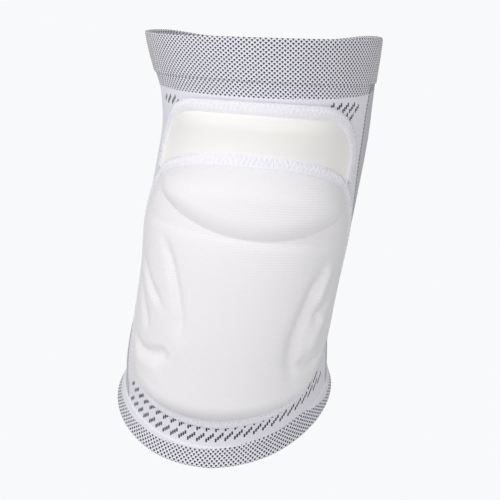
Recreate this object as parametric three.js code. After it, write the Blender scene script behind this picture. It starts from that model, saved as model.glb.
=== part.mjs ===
// Volleyball knee pad, drawn as it sits on a slightly bent leg.
// A knitted tube with a doubled cuff at each end carries two moulded pads on its front,
// and each pad has a sewn edging tape round it.
// Millimetres, +Z up the thigh, the front towards -Y, origin at the middle of the knee.

import * as THREE from 'three';

// Sleeve
const sleeveLength = 228; // along the middle of the leg, rim to rim
const legHalfWidth = 62; // the width that the section table scales
const kneeBend = 26; // degrees between the thigh and the shin
const knitWall = 1.8;
const seatClearance = 0.3; // between pieces that touch

// Cuffs, of doubled knit
const thighCuffHeight = 25;
const calfCuffHeight = 11.5;
const cuffProud = 0.9; // how far a cuff stands out of the tube, and as far into it
const hemRound = 1.3; // rounding of a cuff's free edge

const rimDip = 10; // the length that the table of rims scales

// Edging tape
const edgingWidth = 5.6;
const edgingThickness = 2;
const edgingSelvedge = 1.1; // its thickness along both long edges

// Lower pad, measured over the tube's surface
const lowerPadHalfWidth = 74;
const lowerPadSide = -0.5; // offset towards +X of its middle line, at its top
const lowerPadLean = 2.6; // degrees that this line leans towards +X on its way down
const lowerPadTopArch = 19; // how much lower its top edge lies at the sides
const lowerPadBottomArch = 3.5; // how much higher its bottom edge lies at the sides
const lowerPadTopCorner = 20;
const lowerPadBottomCorner = 30;
const lowerPadMargin = 14.4; // from its edging down to the calf cuff
const lowerShoulder = 16; // how far in from its edge it reaches its full thickness
const shellThickness = 15;
const kneeRollThickness = 18.5;
const kneeRollHeight = 33;
const kneeRollRise = 29; // how much the crease under the roll rises towards the sides
const kneeRollTilt = 3; // degrees, down towards +X
const creaseThickness = 9; // foam left under that crease
const rollLip = 14; // how far above the crease the roll is full
const shellLip = 6; // how far below it the shell is, in the middle
const padEdgeThickness = 2.2;

// Upper pad
const upperPadHalfWidth = 63;
const upperPadSide = -1;
const upperPadMargin = 10.8; // from the thigh cuff down to its edging
const upperPadShown = 30; // from its top edge down to the lower pad's
const upperPadArch = 1.5;
const upperPadCorner = 26;
const upperPadThickness = 8.5;
const upperPadTaper = 0.55; // share of that lost down to the lower pad's edging
const upperShoulder = 11;

// Facets
const roundSegments = 48;
const sleeveRows = 18;
const cornerColumns = 6;
const lowerColumns = 20;
const rollRows = 8;
const shellRows = 18;
const upperColumns = 12;
const upperRows = 8;
const middleLineSteps = 240;

// Where the leg bends, and the knee's middle, as shares of sleeveLength.
const bend = { start: 0.28, end: 0.85, knee: 0.47 };

// Sections of the tube down the leg. at is a share of sleeveLength and slope, the tilt of a
// row of knit towards +X, is in degrees. The others are shares of legHalfWidth: width is half
// the tube's width, side its middle's offset, front and back its depths.
const sections = [
  { at: 0.00, width: 1.108, side: 0.016, front: 1.108, back: 1.055, slope: -2.2 },
  { at: 0.05, width: 1.079, side: 0.033, front: 1.079, back: 1.035, slope: -1.5 },
  { at: 0.10, width: 1.042, side: 0.054, front: 1.042, back: 1.012, slope: -0.9 },
  { at: 0.16, width: 1.000, side: 0.085, front: 1.002, back: 0.985, slope: -0.3 },
  { at: 0.25, width: 0.974, side: 0.092, front: 0.980, back: 0.955, slope: 0.4 },
  { at: 0.36, width: 0.970, side: 0.050, front: 0.974, back: 0.915, slope: 0.9 },
  { at: 0.48, width: 0.968, side: -0.005, front: 0.972, back: 0.880, slope: 0.9 },
  { at: 0.60, width: 0.934, side: -0.050, front: 0.950, back: 0.910, slope: 0.4 },
  { at: 0.72, width: 0.936, side: -0.107, front: 0.955, back: 0.985, slope: -0.6 },
  { at: 0.82, width: 0.966, side: -0.152, front: 0.990, back: 1.020, slope: -1.9 },
  { at: 0.89, width: 0.986, side: -0.165, front: 1.025, back: 1.010, slope: -3.0 },
  { at: 0.95, width: 0.994, side: -0.168, front: 1.045, back: 1.000, slope: -4.1 },
  { at: 1.00, width: 1.053, side: -0.184, front: 1.115, back: 1.010, slope: -5.1 },
];

// How far the rims dip round the leg, as shares of rimDip, turn being the angle in degrees
// from the front.
const rims = [
  { turn: 0, thigh: 0.12, calf: 0.84 },
  { turn: 30, thigh: 0.12, calf: 0.63 },
  { turn: 60, thigh: 0.09, calf: 0.21 },
  { turn: 90, thigh: 0.00, calf: 0.00 },
  { turn: 120, thigh: -0.02, calf: 0.03 },
  { turn: 150, thigh: 0.31, calf: 0.07 },
  { turn: 180, thigh: 0.38, calf: 0.10 },
];

// Soft folds that the bent knee pushes up behind it. at and reach are shares of sleeveLength,
// depth is a share of knitWall and halfAngle is in degrees from the back's middle line.
const backFolds = [
  { at: 0.42, reach: 0.026, depth: 0.9, halfAngle: 62 },
  { at: 0.50, reach: 0.028, depth: 1.2, halfAngle: 70 },
  { at: 0.58, reach: 0.026, depth: 0.8, halfAngle: 60 },
];

// How the lower pad's edge and its crease curve away from its middle line, and where the knee
// roll thins out into the tips of its lens shape, as shares of lowerPadHalfWidth.
const archPower = 2.6;
const rollTips = { start: 0.55, end: 0.86 };

// Thickness of a pad from its middle line, out being a share of its half width and thick a
// share of what it has in the middle.
const padSpread = [
  { out: 0.00, thick: 1.00 },
  { out: 0.40, thick: 1.00 },
  { out: 0.62, thick: 0.82 },
  { out: 0.82, thick: 0.48 },
  { out: 1.00, thick: 0.26 },
];

// Grooves moulded into the lower pad, on both sides. out is a share of lowerPadHalfWidth and
// down a share of the pad's height; depth and reach are shares of shellThickness.
const grooves = [
  {
    depth: 0.18, reach: 0.30,
    path: [
      { out: 0.55, down: 0.32 },
      { out: 0.46, down: 0.41 },
      { out: 0.37, down: 0.53 },
      { out: 0.35, down: 0.62 },
      { out: 0.38, down: 0.77 },
      { out: 0.47, down: 0.90 },
    ],
  },
  {
    depth: 0.15, reach: 0.24,
    path: [{ out: 0.82, down: 0.42 }, { out: 0.65, down: 0.48 }, { out: 0.48, down: 0.55 }],
  },
  {
    depth: 0.15, reach: 0.24,
    path: [{ out: 0.84, down: 0.50 }, { out: 0.70, down: 0.56 }, { out: 0.57, down: 0.65 }],
  },
  {
    depth: 0.18, reach: 0.26,
    path: [
      { out: 0.86, down: 0.73 },
      { out: 0.72, down: 0.77 },
      { out: 0.56, down: 0.75 },
      { out: 0.41, down: 0.69 },
    ],
  },
];

const radians = THREE.MathUtils.degToRad;

function ease(x) {
  const c = Math.min(1, Math.max(0, x));
  return c * c * (3 - 2 * c);
}

// Rises from 0 at an edge to 1 at the given reach from it, ever less steeply.
function shoulder(distance, reach) {
  const c = 1 - Math.min(1, Math.max(0, distance / reach));
  return 1 - c * c;
}

// Smooth reading of a table's column at a place along its key column.
function readTable(table, key, column, place) {
  const last = table.length - 1;
  let i = 0;
  while (i < last - 1 && place > table[i + 1][key]) i += 1;
  const slopeAt = (k) => {
    const a = table[Math.max(0, k - 1)];
    const b = table[Math.min(last, k + 1)];
    return (b[column] - a[column]) / (b[key] - a[key]);
  };
  const from = table[i];
  const to = table[i + 1];
  const span = to[key] - from[key];
  const u = (place - from[key]) / span;
  return (2 * u ** 3 - 3 * u ** 2 + 1) * from[column]
    + (u ** 3 - 2 * u ** 2 + u) * span * slopeAt(i)
    + (-2 * u ** 3 + 3 * u ** 2) * to[column]
    + (u ** 3 - u ** 2) * span * slopeAt(i + 1);
}

function tiltAt(share) {
  return radians(kneeBend) * ease((share - bend.start) / (bend.end - bend.start));
}

// The leg's middle line in the YZ plane, in small steps down from the thigh's rim.
const middleLine = [{ y: 0, z: 0 }];
for (let i = 0; i < middleLineSteps; i += 1) {
  const tilt = tiltAt((i + 0.5) / middleLineSteps);
  const step = sleeveLength / middleLineSteps;
  const { y, z } = middleLine[i];
  middleLine.push({ y: y + step * Math.sin(tilt), z: z - step * Math.cos(tilt) });
}

function readMiddleLine(share) {
  const place = share * middleLineSteps;
  const i = Math.min(middleLineSteps - 1, Math.floor(place));
  const a = middleLine[i];
  const b = middleLine[i + 1];
  return { y: a.y + (b.y - a.y) * (place - i), z: a.z + (b.z - a.z) * (place - i) };
}
const kneeMiddle = readMiddleLine(bend.knee);

function backFoldDepth(angle, share) {
  let depth = 0;
  for (const fold of backFolds) {
    const fromBack = (Math.PI - Math.abs(angle)) / radians(fold.halfAngle);
    const along = (share - fold.at) / fold.reach;
    depth += fold.depth * knitWall * ease(1 - fromBack) * Math.exp(-along * along);
  }
  return depth;
}

// A point of the tube: angle from the front's middle line towards +X, down along the leg
// from the thigh's rim, and out from the tube's outer surface.
function onTube(angle, down, out) {
  const share = down / sleeveLength;
  const read = (column) => legHalfWidth * readTable(sections, 'at', column, share);
  const tilt = tiltAt(share);
  const middle = readMiddleLine(share);
  const sin = Math.sin(angle);
  const cos = Math.cos(angle);
  const inFront = cos > 0;
  const stand = out - backFoldDepth(angle, share);
  const across = (read('width') + stand) * sin;
  const forward = (read(inFront ? 'front' : 'back') + stand) * cos;
  const turn = THREE.MathUtils.radToDeg(Math.abs(angle));
  const dip = rimDip * (readTable(rims, 'turn', 'thigh', turn) * (1 - share) ** 2
    + readTable(rims, 'turn', 'calf', turn) * share ** 3);
  const drop = dip + across * Math.tan(radians(readTable(sections, 'at', 'slope', share)));
  return new THREE.Vector3(
    read('side') + across,
    middle.y - kneeMiddle.y - forward * Math.cos(tilt) + drop * Math.sin(tilt),
    middle.z - kneeMiddle.z - forward * Math.sin(tilt) - drop * Math.cos(tilt),
  );
}

// The same, with the place round the leg given as a length over the surface.
function onFront({ across, down }, out) {
  const share = down / sleeveLength;
  const width = readTable(sections, 'at', 'width', share);
  const front = readTable(sections, 'at', 'front', share);
  const radius = legHalfWidth * (width + front) / 2;
  return onTube(across / radius, down, out);
}

// Places down the tube
const upperPadTop = thighCuffHeight + upperPadMargin + edgingWidth + seatClearance;
const lowerPadTop = upperPadTop + upperPadShown;
const calfCuffTop = sleeveLength - calfCuffHeight;
const lowerPadBottom = calfCuffTop - lowerPadMargin - edgingWidth - seatClearance;
const lowerPadHeight = lowerPadBottom - lowerPadTop;

// How far a rounded corner pulls an edge in, at a place across from the pad's middle line.
function cornerPull(across, halfWidth, corner) {
  const into = Math.max(0, Math.abs(across) - (halfWidth - corner));
  return corner - Math.sqrt(Math.max(0, corner * corner - into * into));
}

// Places across a pad, evenly spaced between its corners and by equal turns round them.
function columnPlaces(halfWidth, corner, count) {
  const places = [];
  const straight = halfWidth - corner;
  for (let i = 0; i < cornerColumns; i += 1) {
    places.push(-straight - corner * Math.cos((i / cornerColumns) * (Math.PI / 2)));
  }
  for (let i = 0; i <= count; i += 1) places.push(straight * ((2 * i) / count - 1));
  for (let i = 1; i <= cornerColumns; i += 1) {
    places.push(straight + corner * Math.sin((i / cornerColumns) * (Math.PI / 2)));
  }
  return places;
}

// Columns of points down a pad, through its edges from the top one to the bottom one. rows
// gives the steps between each two edges, which are closer together near both.
function padColumns(places, middle, edges, rows) {
  return places.map((place) => {
    const column = [];
    edges.slice(1).forEach((edge, k) => {
      const from = edges[k](place);
      const to = edge(place);
      for (let j = k === 0 ? 0 : 1; j <= rows[k]; j += 1) {
        const even = j / rows[k];
        const share = (even + (1 - Math.cos(Math.PI * even)) / 2) / 2;
        const down = from + (to - from) * share;
        column.push({ across: middle(down) + place, down });
      }
    });
    return column;
  });
}

// The edge of such columns, as { column, row } steps from the top left towards +X and round.
function rimSteps(columns) {
  const lastColumn = columns.length - 1;
  const lastRow = columns[0].length - 1;
  const steps = [];
  for (let i = 0; i <= lastColumn; i += 1) steps.push({ column: i, row: 0 });
  for (let j = 1; j <= lastRow; j += 1) steps.push({ column: lastColumn, row: j });
  for (let i = lastColumn - 1; i >= 0; i -= 1) steps.push({ column: i, row: lastRow });
  for (let j = lastRow - 1; j > 0; j -= 1) steps.push({ column: 0, row: j });
  return steps;
}

function rimPoints(columns) {
  return rimSteps(columns).map(({ column, row }) => columns[column][row]);
}

// A path moved outwards, where it runs towards +X along its top.
function offsetPath(path, distance, closed) {
  const last = path.length - 1;
  return path.map((point, i) => {
    const before = path[closed ? (i + last) % (last + 1) : Math.max(0, i - 1)];
    const after = path[closed ? (i + 1) % (last + 1) : Math.min(last, i + 1)];
    const run = Math.hypot(after.across - before.across, after.down - before.down);
    return {
      across: point.across + (distance * (after.down - before.down)) / run,
      down: point.down - (distance * (after.across - before.across)) / run,
    };
  });
}

function pathDistance(path, place) {
  let nearest = Infinity;
  for (let i = 1; i < path.length; i += 1) {
    const from = path[i - 1];
    const runX = path[i].across - from.across;
    const runY = path[i].down - from.down;
    const toX = place.across - from.across;
    const toY = place.down - from.down;
    const u = Math.min(1, Math.max(0, (toX * runX + toY * runY) / (runX * runX + runY * runY)));
    nearest = Math.min(nearest, Math.hypot(toX - u * runX, toY - u * runY));
  }
  return nearest;
}

const upperMiddle = () => upperPadSide;
const lowerMiddle = (down) => lowerPadSide + (down - lowerPadTop) * Math.tan(radians(lowerPadLean));

function lowerTopEdge(across) {
  const arch = lowerPadTopArch * (Math.abs(across) / lowerPadHalfWidth) ** archPower;
  return lowerPadTop + arch + cornerPull(across, lowerPadHalfWidth, lowerPadTopCorner);
}

function lowerBottomEdge(across) {
  const arch = lowerPadBottomArch * (across / lowerPadHalfWidth) ** 2;
  return lowerPadBottom - arch - cornerPull(across, lowerPadHalfWidth, lowerPadBottomCorner);
}

// The shell's top edge, and the crease under the knee roll, which rises from it at the sides.
function shellTop(across) {
  return lowerPadTop + kneeRollHeight + across * Math.tan(radians(kneeRollTilt));
}

function creaseDown(across) {
  return shellTop(across) - kneeRollRise * (Math.abs(across) / lowerPadHalfWidth) ** archPower;
}

// The crease, kept a roll's edge below the top edge beyond the roll's tips.
function creaseEdge(across) {
  const top = lowerTopEdge(across);
  return Math.max(creaseDown(across), top + (lowerBottomEdge(across) - top) / (2 * rollRows));
}

const lowerCorner = (lowerPadTopCorner + lowerPadBottomCorner) / 2;
const lowerPlaces = columnPlaces(lowerPadHalfWidth, lowerCorner, lowerColumns);
const lowerEdges = [lowerTopEdge, creaseEdge, lowerBottomEdge];
const lowerGrid = padColumns(lowerPlaces, lowerMiddle, lowerEdges, [rollRows, shellRows]);
const lowerRim = rimPoints(lowerGrid);
const lowerRimLoop = [...lowerRim, lowerRim[0]];

// How far a tape's inner edge, middle and outer edge lie from the pad that it runs round.
const tapeOffsets = [0, 0.5, 1].map((share) => seatClearance + share * edgingWidth);

function lowerTapeEdge(distance) {
  return offsetPath(lowerRim, distance, true);
}

// Where the upper pad and its tape end: a clearance short of the lower pad's tape.
const upperLimit = lowerTapeEdge(edgingWidth + 2 * seatClearance).slice(0, lowerPlaces.length);

function readUpperLimit(across) {
  const last = upperLimit.length - 1;
  if (across <= upperLimit[0].across) return upperLimit[0].down;
  if (across >= upperLimit[last].across) return upperLimit[last].down;
  let i = 0;
  while (across > upperLimit[i + 1].across) i += 1;
  const from = upperLimit[i];
  const to = upperLimit[i + 1];
  const u = (across - from.across) / (to.across - from.across);
  return from.down + (to.down - from.down) * u;
}

// The upper pad's corners are no larger than its sides have room for.
const upperSideRoom = readUpperLimit(upperPadSide + upperPadHalfWidth) - upperPadTop - upperPadArch;
const upperCorner = Math.min(upperPadCorner, upperSideRoom - edgingWidth / 2);

function upperTopEdge(across) {
  const arch = upperPadArch * (across / upperPadHalfWidth) ** 2;
  return upperPadTop + arch + cornerPull(across, upperPadHalfWidth, upperCorner);
}

const upperPlaces = columnPlaces(upperPadHalfWidth, upperCorner, upperColumns);
const upperBottomEdge = (across) => readUpperLimit(upperPadSide + across);
const upperEdges = [upperTopEdge, upperBottomEdge];
const upperGrid = padColumns(upperPlaces, upperMiddle, upperEdges, [upperRows]);

// The upper pad's edge but for its bottom, up one side, over the top and down the other.
const upperRim = [
  ...upperGrid[0].slice(1).reverse(),
  ...upperGrid.map((column) => column[0]),
  ...upperGrid[upperGrid.length - 1].slice(1),
];

// One long edge of the upper pad's tape: up one side, over the top and down to the limit.
// Its cut ends are straight beside a curved tape, so they take a second clearance.
function upperTapeEdge(distance) {
  const left = upperPadSide - upperPadHalfWidth - distance;
  const right = upperPadSide + upperPadHalfWidth + distance;
  return [
    { across: left, down: readUpperLimit(left) - seatClearance },
    ...offsetPath(upperRim.slice(1, -1), distance, false),
    { across: right, down: readUpperLimit(right) - seatClearance },
  ];
}

const groovePaths = [-1, 1].flatMap((hand) => grooves.map(({ depth, reach, path }) => ({
  depth: depth * shellThickness,
  reach: reach * shellThickness,
  path: path.map(({ out, down }) => ({
    across: hand * out * lowerPadHalfWidth,
    down: lowerPadTop + down * lowerPadHeight,
  })),
})));

function grooveDepth(place) {
  let deepest = 0;
  for (const { depth, reach, path } of groovePaths) {
    const away = pathDistance(path, place) / reach;
    deepest = Math.max(deepest, depth * Math.exp(-away * away));
  }
  return deepest;
}

// Thickness of the lower pad: a knee roll above its crease, a shell below, and a thinner
// wedge between them at both sides.
function lowerPadThickness(place) {
  const across = place.across - lowerMiddle(place.down);
  const out = Math.abs(across) / lowerPadHalfWidth;
  const roll = 1 - ease((out - rollTips.start) / (rollTips.end - rollTips.start));
  const aboveCrease = creaseDown(across) - place.down;
  const belowShellTop = place.down - shellTop(across);
  const inRoll = aboveCrease > 0;
  const full = shellThickness + (inRoll ? (kneeRollThickness - shellThickness) * roll : 0);
  const rise = inRoll ? shoulder(aboveCrease, rollLip) : shoulder(belowShellTop, shellLip);
  const body = creaseThickness + (full - creaseThickness) * rise;
  const spread = readTable(padSpread, 'out', 'thick', out);
  const groove = grooveDepth({ across, down: place.down });
  const edge = shoulder(pathDistance(lowerRimLoop, place), lowerShoulder);
  return padEdgeThickness + (body * spread - groove - padEdgeThickness) * edge;
}

function upperPadThicknessAt(place) {
  const out = Math.abs(place.across - upperPadSide) / upperPadHalfWidth;
  const taper = 1 - upperPadTaper * ease((place.down - upperPadTop) / upperPadShown);
  const body = upperPadThickness * taper * readTable(padSpread, 'out', 'thick', out);
  const edge = shoulder(pathDistance(upperRim, place), upperShoulder);
  return padEdgeThickness + (body - padEdgeThickness) * edge;
}

function toMesh(name, points, triangles, material) {
  const geometry = new THREE.BufferGeometry();
  const flat = points.flatMap((point) => point.toArray());
  geometry.setAttribute('position', new THREE.Float32BufferAttribute(flat, 3));
  geometry.setIndex(triangles);
  geometry.computeVertexNormals();
  const mesh = new THREE.Mesh(geometry, material);
  mesh.name = name;
  return mesh;
}

// Triangles between rows of points. The rows, and the points in each, may close on themselves.
function joinRows(rowCount, pointCount, closedRows, closedPoints) {
  const triangles = [];
  for (let i = 0; i < (closedRows ? rowCount : rowCount - 1); i += 1) {
    for (let j = 0; j < (closedPoints ? pointCount : pointCount - 1); j += 1) {
      const a = i * pointCount + j;
      const b = i * pointCount + ((j + 1) % pointCount);
      const c = ((i + 1) % rowCount) * pointCount + ((j + 1) % pointCount);
      const d = ((i + 1) % rowCount) * pointCount + j;
      triangles.push(a, b, c, a, c, d);
    }
  }
  return triangles;
}

// A ring round the leg, from a closed profile that goes up its outside and down its inside.
function ringSolid(name, profile, material) {
  const points = profile.flatMap(({ down, out }) => {
    const ring = [];
    for (let j = 0; j < roundSegments; j += 1) {
      ring.push(onTube(((2 * j) / roundSegments - 1) * Math.PI, down, out));
    }
    return ring;
  });
  return toMesh(name, points, joinRows(profile.length, roundSegments, true, true), material);
}

// A pad lying on the tube, from its columns of places and its thickness at each.
function padSolid(name, columns, thickness, material) {
  const places = columns.flat();
  const face = places.map((place) => onFront(place, seatClearance + thickness(place)));
  const back = places.map((place) => onFront(place, seatClearance));
  const rowCount = columns[0].length;
  const front = joinRows(columns.length, rowCount, false, false);
  const triangles = [...front, ...front.map((index) => index + face.length).reverse()];
  const rim = rimSteps(columns).map(({ column, row }) => column * rowCount + row);
  rim.forEach((a, i) => {
    const b = rim[(i + 1) % rim.length];
    triangles.push(a, b, b + face.length, a, b + face.length, a + face.length);
  });
  return toMesh(name, [...face, ...back], triangles, material);
}

// A tape lying on the tube, from the paths of its inner edge, middle and outer edge.
function tapeSolid(name, [inner, middle, outer], closed, material) {
  const points = inner.flatMap((near, i) => [
    onFront(outer[i], seatClearance),
    onFront(outer[i], seatClearance + edgingSelvedge),
    onFront(middle[i], seatClearance + edgingThickness),
    onFront(near, seatClearance + edgingSelvedge),
    onFront(near, seatClearance),
    onFront(middle[i], seatClearance),
  ]);
  const pointCount = points.length / inner.length;
  const triangles = joinRows(inner.length, pointCount, closed, true);
  if (!closed) {
    const last = points.length - pointCount;
    for (let j = 1; j < pointCount - 1; j += 1) {
      triangles.push(0, j + 1, j, last, last + j, last + j + 1);
    }
  }
  return toMesh(name, points, triangles, material);
}

// A cuff's profile from its free edge along its outside, and back along its inside.
// from is the place of the free edge, and heading is 1 where the cuff lies below it.
function cuffProfile(from, heading, height) {
  const outside = cuffProud;
  const inside = -knitWall - cuffProud;
  const eased = 0.3 * hemRound; // a hem's quarter turn passes this near its corner
  const point = (along, out) => ({ down: from + heading * along, out });
  return [
    point(0, outside - hemRound),
    point(eased, outside - eased),
    point(hemRound, outside),
    point(height - cuffProud, outside),
    point(height, 0),
    point(height, inside),
    point(hemRound, inside),
    point(eased, inside + eased),
    point(0, inside + hemRound),
  ];
}

function sleeveProfile() {
  const top = thighCuffHeight + seatClearance;
  const bottom = calfCuffTop - seatClearance;
  const outside = [];
  const inside = [];
  for (let i = 0; i <= sleeveRows; i += 1) {
    const down = bottom + ((top - bottom) * i) / sleeveRows;
    outside.push({ down, out: 0 });
    inside.unshift({ down, out: -knitWall });
  }
  return [...outside, ...inside];
}

function knit(color) {
  return new THREE.MeshStandardMaterial({ color, roughness: 0.9, metalness: 0 });
}
const checkedKnit = knit(0xb4b2be);
const whiteKnit = knit(0xe6e5ee);
const padCover = knit(0xf1f0f3);
const tape = knit(0xe9e8f0);
const ivoryFoam = new THREE.MeshStandardMaterial({ color: 0xf2f2ea, roughness: 0.6, metalness: 0 });

const kneePad = new THREE.Group();
kneePad.add(
  ringSolid('thigh_cuff', cuffProfile(0, 1, thighCuffHeight).reverse(), checkedKnit),
  ringSolid('knit_sleeve', sleeveProfile(), whiteKnit),
  ringSolid('calf_cuff', cuffProfile(sleeveLength, -1, calfCuffHeight), checkedKnit),
  padSolid('upper_pad', upperGrid, upperPadThicknessAt, ivoryFoam),
  tapeSolid('upper_pad_edging', tapeOffsets.map(upperTapeEdge), false, tape),
  padSolid('lower_pad', lowerGrid, lowerPadThickness, padCover),
  tapeSolid('lower_pad_edging', tapeOffsets.map(lowerTapeEdge), true, tape),
);

export default kneePad;
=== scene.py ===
"""Looks of a volleyball knee pad: knitted sleeve, checked cuffs, two sewn-on pads and edgings."""

import math

import bpy
import numpy as np
from bpy.props import FloatProperty, FloatVectorProperty, PointerProperty
from mathutils import Matrix, Vector


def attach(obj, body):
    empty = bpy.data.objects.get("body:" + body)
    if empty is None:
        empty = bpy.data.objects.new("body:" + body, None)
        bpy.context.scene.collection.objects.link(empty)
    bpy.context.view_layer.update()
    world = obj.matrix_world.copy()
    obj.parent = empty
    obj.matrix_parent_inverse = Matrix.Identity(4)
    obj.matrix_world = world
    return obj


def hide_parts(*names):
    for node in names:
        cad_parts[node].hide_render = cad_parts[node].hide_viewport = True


bl_info = {
    "name": "Knee pad looks",
    "version": (1, 0, 0),
    "blender": (4, 5, 0),
    "location": "3D View > Sidebar > Knee pad",
    "description": "Builds the knit, foam and stitching of a worn volleyball knee pad",
    "category": "Object",
}

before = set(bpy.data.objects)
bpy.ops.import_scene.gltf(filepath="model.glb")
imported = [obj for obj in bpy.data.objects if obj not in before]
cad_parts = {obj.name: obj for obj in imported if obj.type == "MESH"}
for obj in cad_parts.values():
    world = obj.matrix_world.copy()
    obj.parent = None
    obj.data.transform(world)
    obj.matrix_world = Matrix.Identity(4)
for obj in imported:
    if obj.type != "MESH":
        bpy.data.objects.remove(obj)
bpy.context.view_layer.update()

MM = 0.001

# The tube's sections down the leg: place as a share of the sleeve's length, then shares of the
# leg's half width for half the width, the side offset and the front and back depths, and the
# slope of a row of knit in degrees.
SECTIONS = (
    (0.00, 1.108, 0.016, 1.108, 1.055, -2.2),
    (0.05, 1.079, 0.033, 1.079, 1.035, -1.5),
    (0.10, 1.042, 0.054, 1.042, 1.012, -0.9),
    (0.16, 1.000, 0.085, 1.002, 0.985, -0.3),
    (0.25, 0.974, 0.092, 0.980, 0.955, 0.4),
    (0.36, 0.970, 0.050, 0.974, 0.915, 0.9),
    (0.48, 0.968, -0.005, 0.972, 0.880, 0.9),
    (0.60, 0.934, -0.050, 0.950, 0.910, 0.4),
    (0.72, 0.936, -0.107, 0.955, 0.985, -0.6),
    (0.82, 0.966, -0.152, 0.990, 1.020, -1.9),
    (0.89, 0.986, -0.165, 1.025, 1.010, -3.0),
    (0.95, 0.994, -0.168, 1.045, 1.000, -4.1),
    (1.00, 1.053, -0.184, 1.115, 1.010, -5.1),
)
WIDTH, SIDE, FRONT, BACK, SLOPE = 1, 2, 3, 4, 5  # columns of that table

# How far the rims dip round the leg: the angle from the front in degrees, then shares of the
# rim's dip for the thigh's rim and the calf's.
RIMS = (
    (0, 0.12, 0.84),
    (30, 0.12, 0.63),
    (60, 0.09, 0.21),
    (90, 0.00, 0.00),
    (120, -0.02, 0.03),
    (150, 0.31, 0.07),
    (180, 0.38, 0.10),
)
THIGH_RIM, CALF_RIM = 1, 2  # columns of that table
THIGH_RIM_POWER, CALF_RIM_POWER = 2, 3  # how fast each dip fades with the way from its rim

# Soft folds behind the knee: place and reach as shares of the sleeve's length, depth as a share
# of the knit's wall, and half the angle that they span behind.
BACK_FOLDS = (
    (0.42, 0.026, 0.9, 62),
    (0.50, 0.028, 1.2, 70),
    (0.58, 0.026, 0.8, 60),
)

# Where the leg bends, and the knee's middle, as shares of the sleeve's length.
BEND_START, BEND_END, KNEE = 0.28, 0.85, 0.47
MIDDLE_LINE_STEPS = 240

# Thickness of a pad from its middle line to its side, as a share of its middle's.
PAD_SPREAD = ((0.00, 1.00), (0.40, 1.00), (0.62, 0.82), (0.82, 0.48), (1.00, 0.26))
ARCH_POWER = 2.6  # power of the way out with which the lower pad's top edge falls

# The knee roll thins between these shares of the lower pad's half width, and is at least a share
# of the pad's height high.
ROLL_TIPS = (0.55, 0.86)
ROLL_LEAST = 1 / 16

# Relief moulded into the lower pad, towards -X first. A groove's depth and reach are shares of
# the shell's thickness, and a depth below 0 is a ridge. Its points are shares of the pad's half
# width and of its height.
RELIEF = (
    (0.17, 0.17, (
        (-0.55, 0.26), (-0.46, 0.34), (-0.39, 0.43), (-0.34, 0.52), (-0.32, 0.59), (-0.33, 0.67),
    )),
    (0.11, 0.16, ((-0.81, 0.39), (-0.68, 0.445), (-0.55, 0.505), (-0.43, 0.555))),
    (-0.03, 0.26, ((-0.78, 0.44), (-0.64, 0.50), (-0.50, 0.57))),
    (0.11, 0.17, ((-0.80, 0.47), (-0.70, 0.555), (-0.62, 0.61), (-0.58, 0.66))),
    (0.18, 0.20, ((-0.81, 0.72), (-0.67, 0.75), (-0.53, 0.735), (-0.43, 0.71), (-0.39, 0.68))),
    (-0.06, 0.26, ((-0.77, 0.77), (-0.63, 0.79), (-0.52, 0.775), (-0.41, 0.735))),
    (-0.05, 0.30, ((-0.43, 0.77), (-0.51, 0.82), (-0.58, 0.88))),
    (0.23, 0.24, (
        (0.66, 0.30), (0.57, 0.40), (0.52, 0.455), (0.47, 0.53),
        (0.43, 0.61), (0.42, 0.69), (0.45, 0.77), (0.51, 0.88),
    )),
    (-0.12, 0.22, ((0.68, 0.35), (0.62, 0.43), (0.55, 0.53))),
    (0.12, 0.17, ((0.72, 0.53), (0.62, 0.54), (0.54, 0.57))),
    (-0.14, 0.28, ((0.70, 0.55), (0.61, 0.62), (0.56, 0.73))),
    (0.15, 0.17, ((0.75, 0.76), (0.63, 0.775), (0.54, 0.755), (0.48, 0.71))),
)

RELIEF_FADE = 0.28  # share of a groove's or ridge's length over which it fades at each end
CURVE_STEPS = 6  # straight stretches between two of its points

# The tape across its width, from the pad outwards: place as a share of the width, height as a
# share of the tape's thickness.
TAPE_PROFILE = (
    (0.00, 1.28),
    (0.15, 1.20),
    (0.35, 1.10),
    (0.55, 1.04),
    (0.72, 0.94),
    (0.86, 0.76),
    (0.95, 0.52),
    (1.00, 0.25),
)
ZIGZAG_PLACES = (0.16, 0.86)
LIFT_FADE = 0.14  # share of the upper pad's half width over which its lift of the tape fades

# Rows of slanted dashes: place down the leg in millimetres at the front, how much that grows
# with a turn and with its square, and the turns from and to which the row runs.
DASH_ROWS = (
    (204.0, -16, -125, -0.172, 0.190),
    (210.8, -28, -90, -0.175, 0.208),
    (39.4, 0, 0, -0.187, -0.140),
    (38.2, -6.9, 0, 0.106, 0.172),
    (43.8, -6.9, 0, 0.120, 0.160),
)

# Facets of the finished pieces, round them, across them or down them.
ROUND_SEGMENTS = 288
SLEEVE_ROWS = 150
CORNER_COLUMNS = 16
LOWER_COLUMNS = 104
ROLL_ROWS = 50
SHELL_ROWS = 110
UPPER_COLUMNS = 80
UPPER_ROWS = 48
HEM_STEPS = 4
THIGH_CUFF_ROWS = 26
CALF_CUFF_ROWS = 14
TAPE_STEPS = 8
ZIGZAG_STEPS = 3  # straight stretches of thread from one side of the tape to the other
THREAD_SIDES = 6

# The tape's inner edge, sunk into the pad: shares of its overlap and millimetres over the pad.
TAPE_LEDGES = ((1.0, -0.35), (0.8, 0.12))
TAPE_END = 0.15  # millimetres between the upper tape's ends and the lower tape
THREAD_SEAT = 0.05  # millimetres from the tape's face to the middle of the thread

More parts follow.
